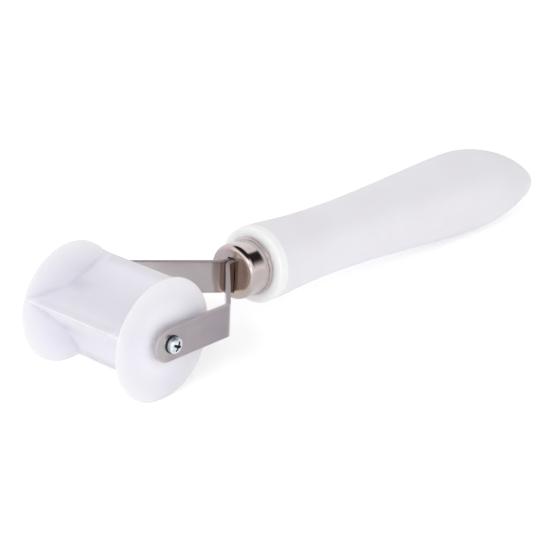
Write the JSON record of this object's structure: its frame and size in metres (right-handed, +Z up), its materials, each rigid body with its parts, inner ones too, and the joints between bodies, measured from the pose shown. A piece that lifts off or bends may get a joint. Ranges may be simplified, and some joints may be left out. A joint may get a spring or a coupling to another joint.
{
  "type": "pastry cutting roller",
  "caption": "Hand roller that cuts rolled dough into square pieces: a white plastic spool with knife rims and cross blades turns in a bent steel fork on a shaped handle.",
  "frame": {"origin": "on the worktop, under the middle of the tool as it lies on both rims and its handle", "axes": "+X from the roller back to the handle's end, +Y from the near arm to the far one, +Z up"},
  "size_m": [0.2588, 0.0596, 0.042],
  "materials": {
    "roller_plastic": "moulded, satin, cool white",
    "handle_plastic": "moulded, satin, cool white",
    "strip_steel": "rolled stainless strip, fine grain along its length",
    "bright_plate": "bright nickel plate",
    "zinc_plate": "bright zinc plate",
    "black_ring": "matt black",
    "natural_nylon": "natural, smooth",
    "plain_steel": "turned"
  },
  "bodies": {
    "fork_and_handle": {"handle": "handle_plastic", "fork_arm_near": "strip_steel", "fork_arm_far": "strip_steel", "ferrule": "bright_plate", "axle_screw_near": "zinc_plate", "axle_screw_far": "zinc_plate", "screw_washer_near": "black_ring", "screw_washer_far": "black_ring", "spacer_washer_near": "natural_nylon", "spacer_washer_far": "natural_nylon", "axle_sleeve": "plain_steel", "tang_pin": "plain_steel"},
    "roller": {"cutting_roller": "roller_plastic"}
  },
  "joints": [
    {"name": "roller_spin", "type": "hinge", "parent": "fork_and_handle", "child": "roller", "pos_m": [-0.10836, 0, 0.021], "axis": [0, 1, 0], "continuous": true}
  ]
}
